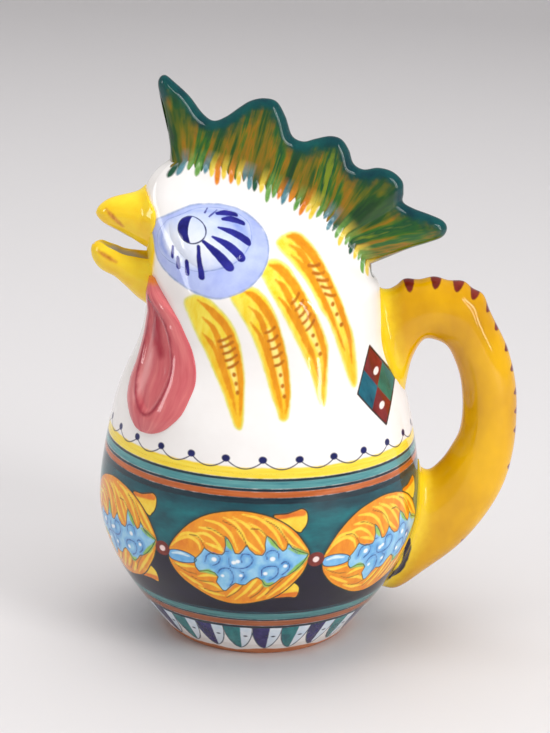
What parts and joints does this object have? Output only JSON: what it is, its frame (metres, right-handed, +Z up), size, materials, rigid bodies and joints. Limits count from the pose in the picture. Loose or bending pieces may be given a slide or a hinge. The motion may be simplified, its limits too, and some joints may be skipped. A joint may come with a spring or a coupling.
{
  "type": "pitcher",
  "caption": "Glazed earthenware pitcher shaped as a cockerel: round footed body, open beak that pours, upright lobed comb and a loop handle at the back.",
  "frame": {"origin": "middle of the foot ring, on the surface that the jug stands on", "axes": "+Z up along the turned body, +X towards the handle, -X towards the beak, +Y across the jug"},
  "size_m": [0.1989, 0.1504, 0.2604],
  "materials": {
    "bare_clay": "unglazed terracotta, matt and slightly gritty",
    "band_glaze": "white tin glaze painted with teal, navy, orange and yellow bands under a clear gloss",
    "white_glaze": "glossy white tin glaze with painted feathers and a scalloped line",
    "comb_glaze": "green, ochre and orange brush strokes under a clear gloss, dark teal edge",
    "beak_glaze": "lemon yellow painted on white, glossy",
    "handle_glaze": "amber yellow glaze, glossy, with dark red dashes",
    "eye_glaze": "pale blue wash with dark blue strokes, glossy",
    "wattle_glaze": "brushed coral red under a clear gloss"
  },
  "bodies": {
    "root": {"foot_ring": "bare_clay", "belly": "band_glaze", "neck": "white_glaze", "head": "white_glaze", "comb": "comb_glaze", "upper_beak": "beak_glaze", "lower_beak": "beak_glaze", "handle": "handle_glaze", "right_eye": "eye_glaze", "left_eye": "eye_glaze", "right_wattle": "wattle_glaze", "left_wattle": "wattle_glaze"}
  },
  "joints": []
}
